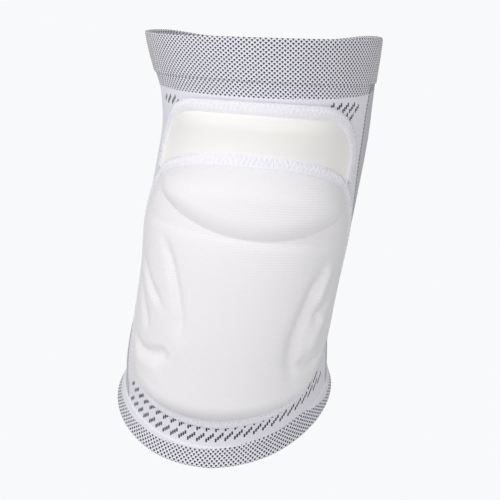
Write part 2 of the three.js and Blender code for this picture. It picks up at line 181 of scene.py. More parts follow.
# Ends of the checks down the leg, in millimetres: at the front, then what that grows with a turn
# and with its square. The lower checks start further down towards the +X side, and level behind.
TOP_CHECKS_END, TOP_CHECKS_SLOPE, TOP_CHECKS_CURVE = 33.4, -6, -60
LOW_CHECKS_START, LOW_CHECKS_SLOPE = 217, -20
LOW_CHECKS_SIDE_START, LOW_CHECKS_SIDE_SLOPE, LOW_CHECKS_BACK = 196.3, 120, 221.5
CHECK_ZIGZAG = 0.34  # how far the checks rise and fall, as a share of their height
CHECK_LINE = 0.32  # share of the way from one check's middle to the next that stays white
CHECK_SHARPNESS = 6.0  # how steeply a check's edge turns dark
MARK_STRENGTH = 0.96  # share of dark yarn in checks and dashes

# Strokes of a dash cluster: cells in a pitch, of which some hold a stroke, then millimetres, and
# the half width as a share of a cell.
STROKE_CELLS = 4.3
STROKES = 4
STROKE_STEP = 1.15
STROKE_HALF_HEIGHT = 1.15
STROKE_HALF_WIDTH = 0.42

# The seam at each side, in turns from the front. At the +X side it comes furthest forward at the
# waist, a place in millimetres, and bends back as the square of the metres from there. At the -X
# side it runs straight down just behind the side, and comes forward towards the calf.
SEAM_WAIST, SEAM_TURN, SEAM_BEND, SEAM_LAST_TURN = 53, 0.1995, 14.0, 0.237
SEAM_LEFT_TURN, SEAM_LOW_TURN, SEAM_LOW_SLOPE = 0.262, 0.447, -1.2
SEAM_HALF_WIDTH = 0.0024

# Stitches of the seams, and the slanted lines behind them: pitch in millimetres, the share of it
# that is dark, and the share of dark yarn there.
SEAM_STITCH, SEAM_STITCH_SHARE, SEAM_STRENGTH = 2.2, 0.8, 0.7
SLANT_PITCH, SLANT_SHARE, SLANT_STRENGTH = 2.4, 0.4, 0.2

# Finish of each surface: roughness and sheen, then relief as (distance in metres, strength).
MATT_SPECULAR = 0.3
YARN_ROUGHNESS, YARN_SHEEN = 0.92, 0.2
FOAM_ROUGHNESS, FOAM_SHEEN = 0.6, 0.0
KNIT_BUMP = (0.35 * MM, 0.55)
COVER_BUMP = (0.2 * MM, 0.4)
TAPE_BUMP = (0.3 * MM, 0.45)
FOAM_BUMP = (0.1 * MM, 0.25)
STITCH_SIDE_FALL, STITCH_END_FALL = 1.2, 1.1  # slopes of a stitch's relief, 1 at its middle
COVER_RIB = 0.6  # height of a rib in the same relief
FOAM_GRAIN = {"Scale": 900.0, "Detail": 3.0}  # a grain of about 1 mm
COVER_CLOUD = {"Scale": 26.0, "Detail": 2.0}  # faint patches of about 40 mm
FOAM_CLOUD = {"Scale": 22.0, "Detail": 2.0}
CLOUD_STRENGTH = 0.15
TAPE_CORD, THREAD_CORD = 1.1, 0.5  # pitches of their fine cords, in millimetres

# Stage, in metres: a floor well below the pad that curves up into a wall behind it.
FLOOR_Z, SWEEP_WALL_Y, SWEEP_ROUND, SWEEP_REACH, SWEEP_STEPS = -0.6, 4.0, 1.0, 6.0, 12
AIR_COLOUR, AIR_LIGHT = (1.0, 1.0, 1.0, 1.0), 0.52

# Softboxes: name, place and width in metres, and power in watts.
SOFTBOXES = (
    ("key_softbox", (-1.1, -1.3, 1.0), 0.9, 12.5),
    ("fill_softbox", (0.2, -1.8, 0.0), 1.4, 10.5),
)

# Camera: azimuth, elevation and roll in degrees, then metres, and the photo's scale and width.
CAMERA_ANGLES = (4, 7, 4)
CAMERA_TARGET = Vector((0.0017, -0.00182, -0.0204))
CAMERA_DISTANCE = 1.2
SENSOR_WIDTH = 36.0
PHOTO_WIDTH = 500
PIXELS_PER_METRE = 1690


def linear(hex_colour):
    """An sRGB hex colour as linear red, green and blue."""
    parts = [int(hex_colour[i:i + 2], 16) / 255 for i in (0, 2, 4)]
    return tuple(c / 12.92 if c <= 0.04045 else ((c + 0.055) / 1.055) ** 2.4 for c in parts)


def length(name, description, default_mm):
    """A length property, given in millimetres."""
    return FloatProperty(name=name, description=description, default=default_mm * MM, min=0.0,
                         unit="LENGTH", precision=5)


def colour(name, description, hex_colour):
    """A colour property, given as sRGB hex."""
    return FloatVectorProperty(name=name, description=description, default=linear(hex_colour),
                               subtype="COLOR", size=3, min=0.0, max=1.0)


class KneePadSizes(bpy.types.PropertyGroup):
    """Sizes that the pieces are drawn from."""

    sleeve_length: length("Sleeve length", "Rim to rim along the leg's middle", 228)
    leg_half_width: length("Leg half width", "The width that the section table scales", 62)
    knee_bend: FloatProperty(name="Knee bend", description="Angle between thigh and shin",
                             default=math.radians(26), subtype="ANGLE", unit="ROTATION")
    knit_wall: length("Knit wall", "Thickness of the sleeve", 1.8)
    seat_clearance: length("Seat clearance", "Between the sleeve and what lies on it", 0.3)
    thigh_cuff_height: length("Thigh cuff height", "Height of the doubled upper cuff", 25)
    calf_cuff_height: length("Calf cuff height", "Height of the doubled lower cuff", 11.5)
    cuff_proud: length("Cuff proud", "How far a cuff stands out of the tube", 0.9)
    hem_round: length("Hem rounding", "Rounding of a cuff's free edge", 1.3)
    rim_dip: length("Rim dip", "The length that the table of rims scales", 10)
    edging_width: length("Edging width", "Width of the sewn tape", 5.6)
    edging_thickness: length("Edging thickness", "Thickness of the tape at its middle", 2)
    thread_radius: length("Thread radius", "Half the thickness of the stitching thread", 0.24)
    lower_overlap: length("Lower edging overlap", "How far it lies over the lower pad", 0.8)
    upper_overlap: length("Upper edging overlap", "How far it lies over the upper pad", 2.2)
    lower_half_width: length("Lower pad half width", "Half its width over the surface", 74)
    lower_side: FloatProperty(name="Lower pad side", description="Its middle line's offset",
                              default=-0.5 * MM, unit="LENGTH", precision=5)
    lower_lean: FloatProperty(name="Lower pad lean", description="Lean of its middle line",
                              default=math.radians(1.4), subtype="ANGLE", unit="ROTATION")
    lower_top_arch: length("Lower pad top arch", "How much lower its top lies at the sides", 19)
    lower_bottom_arch: length("Lower pad bottom arch", "How much higher its bottom lies there", 7)
    lower_top_corner: length("Lower pad top corner", "Radius of its upper corners", 20)
    lower_bottom_corner: length("Lower pad bottom corner", "Radius of its lower corners", 31)
    lower_margin: length("Lower pad margin", "From its edging to the calf cuff", 12.2)
    lower_shoulder: length("Lower pad shoulder", "How far in it reaches full thickness", 16)
    shell_thickness: length("Shell thickness", "Thickness of the shin shell", 15)
    roll_thickness: length("Knee roll thickness", "Thickness of the roll over the knee", 18.5)
    roll_height: length("Knee roll height", "From the pad's top to the crease", 33)
    roll_rise: length("Knee roll rise", "How much the crease rises at the sides", 29)
    roll_tilt: FloatProperty(name="Knee roll tilt", description="Tilt of the shell's top edge",
                             default=math.radians(3), subtype="ANGLE", unit="ROTATION")
    roll_side: length("Knee roll side", "How far its lowest place lies towards +X", 9)
    crease_thickness: length("Crease thickness", "Foam left under the crease", 14)
    roll_lip: length("Roll lip", "How far above the crease the roll is full", 9.5)
    shell_lip: length("Shell lip", "How far below its top edge the shell is full", 5)
    pad_edge: length("Pad edge", "Thickness of a pad along its sewn edge", 2.2)
    upper_half_width: length("Upper pad half width", "Half its width over the surface", 63)
    upper_side: FloatProperty(name="Upper pad side", description="Its middle line's offset",
                              default=-1 * MM, unit="LENGTH", precision=5)
    upper_margin: length("Upper pad margin", "From the thigh cuff to its edging", 10.8)
    upper_shown: length("Upper pad shown", "From its top edge to the lower pad's", 30)
    upper_arch: length("Upper pad arch", "How much lower its top lies at the sides", 1.5)
    upper_corner: length("Upper pad corner", "Radius of its upper corners", 26)
    upper_thickness: length("Upper pad thickness", "Thickness of the foam", 8.5)
    upper_taper: FloatProperty(name="Upper pad taper", description="Share of foam lost downwards",
                               default=0.62, min=0.0, max=1.0, subtype="FACTOR")
    upper_shoulder: length("Upper pad shoulder", "How far in it reaches full thickness", 11)


class KneePadLooks(bpy.types.PropertyGroup):
    """Colours and pattern sizes of the knit, foam and tape."""

    knit_white: colour("Knit white", "Cool white elastic yarn", "EDECF5")
    check_charcoal: colour("Check charcoal", "Dark yarn of the checks and dashes", "16162C")
    panel_grey: colour("Panel grey", "Finer grey knit behind the leg", "D2D1DA")
    foam_ivory: colour("Foam ivory", "Skin of the moulded upper pad", "F5F3F0")
    cover_white: colour("Cover white", "Knit cover of the lower pad", "F3F1F4")
    tape_white: colour("Tape white", "Sewn edging tape", "F3F2F9")
    thread_white: colour("Thread white", "Zigzag stitching", "F7F6FB")
    stage_white: colour("Stage white", "Floor and backdrop", "F8F9FB")
    check_width: length("Check width", "From one check to the next in a row", 2.75)
    check_height: length("Check height", "Two rows of checks", 2.54)
    dash_pitch: length("Dash pitch", "From one cluster of dashes to the next", 5.7)
    stitch_width: length("Stitch width", "Width of one knit stitch, coarser than real", 1.3)
    stitch_height: length("Stitch height", "Height of one knit stitch", 1.1)
    rib_pitch: length("Rib pitch", "From one rib of the pad's cover to the next", 1.2)
    zigzag_pitch: length("Zigzag pitch", "From one zigzag of the stitching to the next", 2.6)


def sizes():
    """The sizes set in the scene."""
    return bpy.context.scene.knee_pad_sizes


def looks():
    """The colours and pattern sizes set in the scene."""
    return bpy.context.scene.knee_pad_looks


# Form of the worn tube


def ease(x):
    """Rises smoothly from 0 to 1 as x does, and stays level outside."""
    c = np.clip(x, 0.0, 1.0)
    return c * c * (3 - 2 * c)


def shoulder(distance, reach):
    """Rises from 0 at an edge to 1 at a reach from it, ever less steeply."""
    c = 1 - np.clip(distance / reach, 0.0, 1.0)
    return 1 - c * c


def read_table(rows, place, column=1):
    """Smooth reading of a column of a table at places along its first one."""
    table = np.array(rows, float)
    keys, values = table[:, 0], table[:, column]
    place = np.asarray(place, float)
    last = len(keys) - 1
    index = np.arange(last + 1)
    before, after = np.maximum(index - 1, 0), np.minimum(index + 1, last)
    slopes = (values[after] - values[before]) / (keys[after] - keys[before])
    i = np.clip(np.searchsorted(keys, place) - 1, 0, last - 1)
    span = keys[i + 1] - keys[i]
    u = (place - keys[i]) / span
    return (
        (2 * u**3 - 3 * u**2 + 1) * values[i]
        + (u**3 - 2 * u**2 + u) * span * slopes[i]
        + (-2 * u**3 + 3 * u**2) * values[i + 1]
        + (u**3 - u**2) * span * slopes[i + 1]
    )


def tilt_at(share):
    """How far the leg's middle line has bent back at a share of the sleeve's length."""
    return sizes().knee_bend * ease((share - BEND_START) / (BEND_END - BEND_START))


def middle_line():
    """The leg's middle line, y and z at even shares of its length, from the knee's middle."""
    step = sizes().sleeve_length / MIDDLE_LINE_STEPS
    tilt = tilt_at((np.arange(MIDDLE_LINE_STEPS) + 0.5) / MIDDLE_LINE_STEPS)
    y = np.concatenate(([0.0], np.cumsum(step * np.sin(tilt))))
    z = np.concatenate(([0.0], -np.cumsum(step * np.cos(tilt))))
    share = np.linspace(0, 1, MIDDLE_LINE_STEPS + 1)
    return share, y - np.interp(KNEE, share, y), z - np.interp(KNEE, share, z)


def back_fold_depth(angle, share):
    """How far the folds behind the knee press the tube in."""
    depth = 0.0
    for at, reach, deep, half_angle in BACK_FOLDS:
        from_back = (np.pi - np.abs(angle)) / math.radians(half_angle)
        along = (share - at) / reach
        depth = depth + deep * sizes().knit_wall * ease(1 - from_back) * np.exp(-along * along)
    return depth


def on_tube(angle, down, out):
    """Points of the tube: angle from the front towards +X, down from the thigh's rim, and out
    from the tube's outer surface."""
    s = sizes()
    angle, down, out = np.broadcast_arrays(
        np.asarray(angle, float), np.asarray(down, float), np.asarray(out, float)
    )
    share = down / s.sleeve_length
    tilt = tilt_at(share)
    line_share, line_y, line_z = middle_line()
    stand = out - back_fold_depth(angle, share)
    scale = s.leg_half_width
    fronts, backs = read_table(SECTIONS, share, FRONT), read_table(SECTIONS, share, BACK)
    depth = np.where(np.cos(angle) > 0, fronts, backs)
    across = (scale * read_table(SECTIONS, share, WIDTH) + stand) * np.sin(angle)
    forward = (scale * depth + stand) * np.cos(angle)
    turn = np.degrees(np.abs(angle))
    upper_dip = read_table(RIMS, turn, THIGH_RIM) * (1 - share) ** THIGH_RIM_POWER
    lower_dip = read_table(RIMS, turn, CALF_RIM) * share**CALF_RIM_POWER
    dip = s.rim_dip * (upper_dip + lower_dip)
    drop = dip + across * np.tan(np.radians(read_table(SECTIONS, share, SLOPE)))
    middle_y = np.interp(share, line_share, line_y)
    middle_z = np.interp(share, line_share, line_z)
    return np.stack(
        (
            scale * read_table(SECTIONS, share, SIDE) + across,
            middle_y - forward * np.cos(tilt) + drop * np.sin(tilt),
            middle_z - forward * np.sin(tilt) - drop * np.cos(tilt),
        ),
        axis=-1,
    )


def on_front(places, out):
    """The same, with the place round the leg given as a length over the surface."""
    share = places[..., 1] / sizes().sleeve_length
    mean = (read_table(SECTIONS, share, WIDTH) + read_table(SECTIONS, share, FRONT)) / 2
    return on_tube(places[..., 0] / (sizes().leg_half_width * mean), places[..., 1], out)


# Places and edges of the pads


def upper_top():
    """Place down the leg of the upper pad's top edge."""
    s = sizes()
    return s.thigh_cuff_height + s.upper_margin + s.edging_width + s.seat_clearance


def lower_top():
    """Place down the leg of the lower pad's top edge, at its middle line."""
    return upper_top() + sizes().upper_shown


def lower_bottom():
    """Place down the leg of the lower pad's bottom edge, at its middle line."""
    s = sizes()
    cuff_top = s.sleeve_length - s.calf_cuff_height
    return cuff_top - s.lower_margin - s.edging_width - s.seat_clearance


def corner_pull(across, half_width, corner):
    """How far a rounded corner pulls an edge in, at a place across from the pad's middle."""
    into = np.maximum(0, np.abs(across) - (half_width - corner))
    return corner - np.sqrt(np.maximum(0, corner * corner - into * into))


def column_places(half_width, corner, count):
    """Places across a pad, even between its corners and by equal turns round them."""
    straight = half_width - corner
    turn = np.arange(CORNER_COLUMNS) / CORNER_COLUMNS * (np.pi / 2)
    left = -straight - corner * np.cos(turn)
    return np.concatenate((left, np.linspace(-straight, straight, count + 1), -left[::-1]))


def pad_columns(places, middle, edges, rows):
    """Places down a pad through its edges, as an array of columns by rows by (across, down). Rows
    lie a little closer near each edge."""
    downs = [edges[0](places)[:, None]]
    for k in range(len(rows)):
        even = np.arange(1, rows[k] + 1) / rows[k]
        share = (even + (1 - np.cos(np.pi * even)) / 2) / 2
        top, bottom = edges[k](places)[:, None], edges[k + 1](places)[:, None]
        downs.append(top + (bottom - top) * share)
    down = np.concatenate(downs, axis=1)
    return np.stack((middle(down) + places[:, None], down), axis=-1)


def rim_of(columns):
    """The places along the edge of such columns, from the top left towards +X and round."""
    return np.concatenate((columns[:, 0], columns[-1, 1:], columns[-2::-1, -1], columns[0, -2:0:-1]))


def offset_path(path, distance, closed):
    """A path moved sideways by a distance, away from the pad that it runs round."""
    if closed:
        before, after = np.roll(path, 1, axis=0), np.roll(path, -1, axis=0)
    else:
        before = np.concatenate((path[:1], path[:-1]))
        after = np.concatenate((path[1:], path[-1:]))
    step = after - before
    step /= np.linalg.norm(step, axis=1)[:, None]
    return path + distance * np.stack((step[:, 1], -step[:, 0]), axis=1)


def near_path(path, places):
    """How far each place is from a path, and how far along it the nearest point lies, as a share."""
    nearest = np.full(places.shape[:-1], np.inf)
    along = np.zeros(places.shape[:-1])
    last = len(path) - 1
    for i in range(last):
        run = path[i + 1] - path[i]
        to = places - path[i]
        u = np.clip((to @ run) / (run @ run), 0, 1)
        away = np.linalg.norm(to - u[..., None] * run, axis=-1)
        along = np.where(away < nearest, (i + u) / last, along)
        nearest = np.minimum(nearest, away)
    return nearest, along


def lower_middle(down):
    """How far the lower pad's middle line lies to the side at a place down the leg."""
    return sizes().lower_side + (down - lower_top()) * math.tan(sizes().lower_lean)


def lower_top_edge(across):
    s = sizes()
    arch = s.lower_top_arch * (np.abs(across) / s.lower_half_width) ** ARCH_POWER
    return lower_top() + arch + corner_pull(across, s.lower_half_width, s.lower_top_corner)


def lower_bottom_edge(across):
    s = sizes()
    arch = s.lower_bottom_arch * (across / s.lower_half_width) ** 2
    return lower_bottom() - arch - corner_pull(across, s.lower_half_width, s.lower_bottom_corner)


def shell_top(across):
    """Where the shell starts to rise again below the crease, as a place down the leg."""
    return lower_top() + sizes().roll_height + across * math.tan(sizes().roll_tilt)


def crease_down(across):
    """The crease under the knee roll, as a place down the leg. It rises towards both sides."""
    s = sizes()
    share = (across - s.roll_side) / s.lower_half_width
    return lower_top() + s.roll_height - s.roll_rise * share * share


def crease_edge(across):
    """The crease as an edge between rows of the mesh, kept below the top edge."""
    top = lower_top_edge(across)
    return np.maximum(crease_down(across), top + (lower_bottom_edge(across) - top) * ROLL_LEAST)


def lower_columns():
    """Places of the lower pad, in columns that suit its upper and lower corners."""
    s = sizes()
    corner = (s.lower_top_corner + s.lower_bottom_corner) / 2
    places = column_places(s.lower_half_width, corner, LOWER_COLUMNS)
    edges = (lower_top_edge, crease_edge, lower_bottom_edge)
    return pad_columns(places, lower_middle, edges, (ROLL_ROWS, SHELL_ROWS))


def relief_depth(across, down):
    """Depth of the moulded grooves, less the height of the ridges. Both fade at their ends."""
    s = sizes()
    height = lower_bottom() - lower_top()
    places = np.stack((across, down), axis=-1)
    total = np.zeros(across.shape)
    for depth, reach, shares in RELIEF:
        path = np.array([(out * s.lower_half_width, lower_top() + at * height) for out, at in shares])
        away, along = near_path(smooth_path(path), places)
        fade = ease(along / RELIEF_FADE) * ease((1 - along) / RELIEF_FADE)
        away = away / (reach * s.shell_thickness)
        total += depth * s.shell_thickness * fade * np.exp(-away * away)
    return total


def smooth_path(path):
    """A path with a smooth curve through its points."""
    rows = np.column_stack((np.arange(len(path)), path))
    at = np.linspace(0, len(path) - 1, CURVE_STEPS * (len(path) - 1) + 1)
    return np.column_stack((read_table(rows, at, 1), read_table(rows, at, 2)))


def seat_lift(places):
    """How far the upper pad's end lifts the lower pad's top edge and the tape along it."""
    s = sizes()
    out = np.abs(places[..., 0] - s.upper_side) / s.upper_half_width
    below_top = places[..., 1] - lower_top_edge(places[..., 0] - lower_middle(places[..., 1]))
    near_top = 1 - ease(below_top / s.lower_shoulder)
    foam_end = s.upper_thickness * (1 - s.upper_taper) * read_table(PAD_SPREAD, np.minimum(out, 1))
    return foam_end * ease((1 - out) / LIFT_FADE) * near_top


def lower_thickness(places):
    """Thickness of the lower pad: the knee roll above its crease and the shell below."""
    s = sizes()
    across, down = places[..., 0] - lower_middle(places[..., 1]), places[..., 1]
    out = np.minimum(np.abs(across) / s.lower_half_width, 1)
    roll = 1 - ease((out - ROLL_TIPS[0]) / (ROLL_TIPS[1] - ROLL_TIPS[0]))
    above = crease_down(across) - down
    below = down - shell_top(across)
    in_roll = above > 0
    full = s.shell_thickness + np.where(in_roll, (s.roll_thickness - s.shell_thickness) * roll, 0)
    rise = np.where(in_roll, shoulder(above, s.roll_lip), shoulder(below, s.shell_lip))
    body = s.crease_thickness + (full - s.crease_thickness) * rise
    body = body * read_table(PAD_SPREAD, out) - relief_depth(across, down)
    rim = rim_of(lower_columns())
    away, _ = near_path(np.vstack((rim, rim[:1])), places)
    start = s.pad_edge + seat_lift(places)
    return start + (body - start) * shoulder(away, s.lower_shoulder)


def lower_reach(distance):
    """A path at a distance above the lower pad's top edge."""
    columns = lower_columns()
    return offset_path(rim_of(columns), distance, True)[: len(columns)]


def read_reach(distance, across):
    """The place down the leg of such a path, at places across."""
    reach = lower_reach(distance)
    return np.interp(across, reach[:, 0], reach[:, 1])


def upper_columns():
    """Places of the upper pad, whose end is tucked under the lower pad's tape."""
    s = sizes()
    tucked = s.edging_width - s.lower_overlap
    side = read_reach(tucked, s.upper_side + s.upper_half_width) - upper_top() - s.upper_arch
    corner = min(s.upper_corner, side - s.edging_width / 2)  # ends above the lower pad's tape

    def top_edge(across):
        arch = s.upper_arch * (across / s.upper_half_width) ** 2
        return upper_top() + arch + corner_pull(across, s.upper_half_width, corner)

    def bottom_edge(across):
        return read_reach(tucked, s.upper_side + across)

    def middle(down):
        return np.full(down.shape, s.upper_side)

    places = column_places(s.upper_half_width, corner, UPPER_COLUMNS)
    return pad_columns(places, middle, (top_edge, bottom_edge), (UPPER_ROWS,))


def upper_sides(columns):
    """The upper pad's edge but for its bottom, up one side, over the top and down the other."""
    return np.concatenate((columns[0, -1:0:-1], columns[:, 0], columns[-1, 1:]))


def upper_thickness(places):
    """Thickness of the upper pad, which thins downwards."""
    s = sizes()
    out = np.minimum(np.abs(places[..., 0] - s.upper_side) / s.upper_half_width, 1)
    taper = 1 - s.upper_taper * ease((places[..., 1] - upper_top()) / s.upper_shown)
    body = s.upper_thickness * taper * read_table(PAD_SPREAD, out)
    away, _ = near_path(upper_sides(upper_columns()), places)
    return s.pad_edge + (body - s.pad_edge) * shoulder(away, s.upper_shoulder)


# Meshes


def grid_faces(row_count, point_count, closed_rows, closed_points):
    """Faces between rows of points, and the same corners counted on without closing."""
    i, j = np.meshgrid(
        np.arange(row_count if closed_rows else row_count - 1),
        np.arange(point_count if closed_points else point_count - 1),
        indexing="ij",
    )
    i, j = i.ravel(), j.ravel()
    rows = np.stack((i, i, i + 1, i + 1), axis=1)
    points = np.stack((j, j + 1, j + 1, j), axis=1)
    faces = (rows % row_count) * point_count + points % point_count
    return faces, rows, points


def make_piece(name, points, faces, corners, node, material):
    """A mesh at the origin that rides on the root, with its surface places as its map."""
    mesh = bpy.data.meshes.new(name)
    mesh.from_pydata(points.reshape(-1, 3).tolist(), [], [list(face) for face in faces])
    layer = mesh.uv_layers.new(name="surface")
    layer.data.foreach_set("uv", np.asarray(corners, np.float32).ravel())
    mesh.polygons.foreach_set("use_smooth", np.ones(len(mesh.polygons), bool))
    mesh.materials.append(material)
    mesh.update()
    piece = bpy.data.objects.new(name, mesh)
    bpy.context.scene.collection.objects.link(piece)
    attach(piece, "root")
    if node:
        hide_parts(node)
    return piece


def ring_piece(name, profile, node, material):
    """A ring round the leg from a closed profile of (down, out) that goes up its outside."""
    profile = np.array(profile)
    angle = (2 * np.arange(ROUND_SEGMENTS) / ROUND_SEGMENTS - 1) * np.pi
    points = on_tube(angle[None, :], profile[:, :1], profile[:, 1:])
    faces, rows, around = grid_faces(len(profile), ROUND_SEGMENTS, True, True)
    corners = np.stack((around / ROUND_SEGMENTS - 0.5, profile[rows % len(profile), 0]), axis=-1)
    return make_piece(name, points, faces, corners, node, material)


def pad_piece(name, columns, thickness, node, material):
    """A pad lying on the tube, from its columns of places and its thickness at each."""
    clearance = sizes().seat_clearance
    face = on_front(columns, clearance + thickness).reshape(-1, 3)
    back = on_front(columns, clearance).reshape(-1, 3)
    column_count, row_count = columns.shape[:2]
    front, _, _ = grid_faces(column_count, row_count, False, False)
    rim = rim_of(np.arange(column_count * row_count).reshape(column_count, row_count))
    after = np.roll(rim, -1)
    sides = np.stack((rim, after, after + len(face), rim + len(face)), axis=1)
    faces = np.concatenate((front, front[:, ::-1] + len(face), sides))
    places = np.concatenate((columns.reshape(-1, 2),) * 2)
    return make_piece(name, np.concatenate((face, back)), faces, places[faces], node, material)


# Materials


def add_node(tree, kind, settings=None, inputs=None):
    """Adds a node with its settings, and sets or links its inputs."""
    made = tree.nodes.new(kind)
    for key, value in (settings or {}).items():
        setattr(made, key, value)
    for key, value in (inputs or {}).items():
        if isinstance(value, bpy.types.NodeSocket):
            tree.links.new(value, made.inputs[key])
        else:
            made.inputs[key].default_value = value
    return made


def new_material(name):
    """An empty material and its node tree."""
    material = bpy.data.materials.new(name)
    material.use_nodes = True
    material.node_tree.nodes.clear()
    return material, material.node_tree


def run_steps(tree, values, steps):
    """Adds one arithmetic node per step. A step is (result, operation, inputs), and an input is
    a number or the name of an earlier result."""
    for result, operation, *inputs in steps:
        read = {i: values[x] if isinstance(x, str) else x for i, x in enumerate(inputs)}
        made = add_node(tree, "ShaderNodeMath", {"operation": operation}, read)
        values[result] = made.outputs[0]


def surface_values(tree):
    """The surface places of a piece, as two values: u in turns round the leg, or metres across a
    pad or along a tape, and v in metres down the leg or across the tape."""
    place = add_node(tree, "ShaderNodeUVMap", {"uv_map": "surface"})
    parts = add_node(tree, "ShaderNodeSeparateXYZ", None, {0: place.outputs[0]})
    return {"u": parts.outputs[0], "v": parts.outputs[1]}


def finish_material(tree, base, roughness, sheen, height, bump_distance, bump_strength):
    """Joins colour, roughness, sheen and relief into one shader."""
    bump = add_node(tree, "ShaderNodeBump", None, {
        "Height": height,
        "Distance": bump_distance,
        "Strength": bump_strength,
    })
    shader = add_node(tree, "ShaderNodeBsdfPrincipled", None, {
        "Base Color": base,
        "Roughness": roughness,
        "Sheen Weight": sheen,
        "Specular IOR Level": MATT_SPECULAR,
        "Normal": bump.outputs[0],
    })
    add_node(tree, "ShaderNodeOutputMaterial", None, {"Surface": shader.outputs[0]})


def mix_colour(tree, factor, first, second):
    """A blend of two colours by a factor."""
    made = add_node(tree, "ShaderNodeMix", {"data_type": "RGBA"}, {0: factor, 6: first, 7: second})
    return made.outputs[2]


def cell_steps(name, place):
    """Steps for how far a place is from the middle of its cell, where cells are 1 apart."""
    return [
        (name + "_part", "FRACT", place),
        (name + "_side", "SUBTRACT", name + "_part", 0.5),
        (name, "ABSOLUTE", name + "_side"),
    ]


def knit_relief_steps(around, height):
    """Steps for the relief of knit stitches, each a V in its own cell."""
    return [
        ("stitch_column", "MULTIPLY", "u", around),
        *cell_steps("stitch_across", "stitch_column"),
        ("stitch_row", "DIVIDE", "v", height),
        ("stitch_bent", "SUBTRACT", "stitch_row", "stitch_across"),
        *cell_steps("stitch_up", "stitch_bent"),
        ("stitch_ends", "MULTIPLY", "stitch_up", -STITCH_END_FALL),
        ("stitch_sides", "MULTIPLY_ADD", "stitch_across", -STITCH_SIDE_FALL, 1.0),
        ("knit", "ADD", "stitch_sides", "stitch_ends"),
    ]


def check_steps():
    """Steps for staggered diamond checks. They fill the thigh's end down to one line round the
    leg, and the calf's end up to another."""
    look = looks()
    checks_round = round(2 * np.pi * sizes().leg_half_width / look.check_width)
    return [
        ("check_column", "MULTIPLY", "u", checks_round),
        *cell_steps("check_across", "check_column"),
        ("wave_column", "MULTIPLY", "check_column", 2.0),
        *cell_steps("check_wave", "wave_column"),
        ("check_row", "DIVIDE", "v", look.check_height),
        ("wavy_row", "MULTIPLY_ADD", "check_wave", -CHECK_ZIGZAG, "check_row"),
        *cell_steps("check_up", "wavy_row"),
        ("check_sum", "ADD", "check_across", "check_up"),
        ("from_line", "MULTIPLY_ADD", "check_sum", 2.0, -1.0),
        ("line_away", "ABSOLUTE", "from_line"),
        ("past_line", "SUBTRACT", "line_away", CHECK_LINE),
        ("darkness", "MULTIPLY", "past_line", CHECK_SHARPNESS),
        ("not_below_0", "MAXIMUM", "darkness", 0.0),
        ("check_mark", "MINIMUM", "not_below_0", 1.0),
        ("check_v", "MULTIPLY", "wavy_row", look.check_height),
        ("square", "MULTIPLY", "u", "u"),
        ("top_line", "MULTIPLY_ADD", "u", TOP_CHECKS_SLOPE * MM, TOP_CHECKS_END * MM),
        ("top_curve", "MULTIPLY_ADD", "square", TOP_CHECKS_CURVE * MM, "top_line"),
        ("top_end", "MAXIMUM", "top_curve", sizes().thigh_cuff_height),
        ("low_line", "MULTIPLY_ADD", "u", LOW_CHECKS_SLOPE * MM, LOW_CHECKS_START * MM),
        ("low_side", "MULTIPLY_ADD", "u", LOW_CHECKS_SIDE_SLOPE * MM, LOW_CHECKS_SIDE_START * MM),
        ("low_front", "MAXIMUM", "low_line", "low_side"),
        ("low_start", "MINIMUM", "low_front", LOW_CHECKS_BACK * MM),
        ("in_top", "LESS_THAN", "check_v", "top_end"),
        ("in_low", "GREATER_THAN", "check_v", "low_start"),
        ("check_in", "ADD", "in_top", "in_low"),
        ("checks", "MULTIPLY", "check_mark", "check_in"),
    ]


def dash_steps(row, pitch):
    """Steps that add a row of dash clusters to the marks: short upright strokes, each higher than
    the last."""
    down, slope, curve, first_turn, last_turn = row
    clusters_round = round(2 * np.pi * sizes().leg_half_width / pitch)
    return [
        ("cluster", "MULTIPLY", "u", clusters_round),
        ("cluster_part", "FRACT", "cluster"),
        ("stroke_place", "MULTIPLY_ADD", "cluster_part", STROKE_CELLS, -STROKE_CELLS / 2),
        ("stroke_cell", "FLOOR", "stroke_place"),
        ("stroke_middle", "ADD", "stroke_cell", 0.5),
        ("stroke_side", "SUBTRACT", "stroke_place", "stroke_middle"),
        ("stroke_across", "ABSOLUTE", "stroke_side"),
        ("stroke_out", "ABSOLUTE", "stroke_middle"),
        ("turn_square", "MULTIPLY", "u", "u"),
        ("row_line", "MULTIPLY_ADD", "u", -slope * MM, "v"),
        ("row_curve", "MULTIPLY_ADD", "turn_square", -curve * MM, "row_line"),
        ("from_row", "SUBTRACT", "row_curve", down * MM),
        ("from_stroke", "MULTIPLY_ADD", "stroke_middle", STROKE_STEP * MM, "from_row"),
        ("stroke_up", "ABSOLUTE", "from_stroke"),
        ("in_height", "LESS_THAN", "stroke_up", STROKE_HALF_HEIGHT * MM),
        ("in_width", "LESS_THAN", "stroke_across", STROKE_HALF_WIDTH),
        ("in_cluster", "LESS_THAN", "stroke_out", STROKES / 2),
        ("past_first", "GREATER_THAN", "u", first_turn),
        ("before_last", "LESS_THAN", "u", last_turn),
        ("in_stroke", "MULTIPLY", "in_height", "in_width"),
        ("in_start", "MULTIPLY", "in_cluster", "past_first"),
        ("in_end", "MULTIPLY", "in_stroke", "before_last"),
        ("dash", "MULTIPLY", "in_start", "in_end"),
        ("marks", "MAXIMUM", "marks", "dash"),
    ]


def knit_values(tree):
    """Values that both knit materials read: the relief of the stitches, and the checks."""
    look = looks()
    values = surface_values(tree)
    stitches_round = round(2 * np.pi * sizes().leg_half_width / look.stitch_width)
    run_steps(tree, values, knit_relief_steps(stitches_round, look.stitch_height))
    run_steps(tree, values, check_steps())
    return values


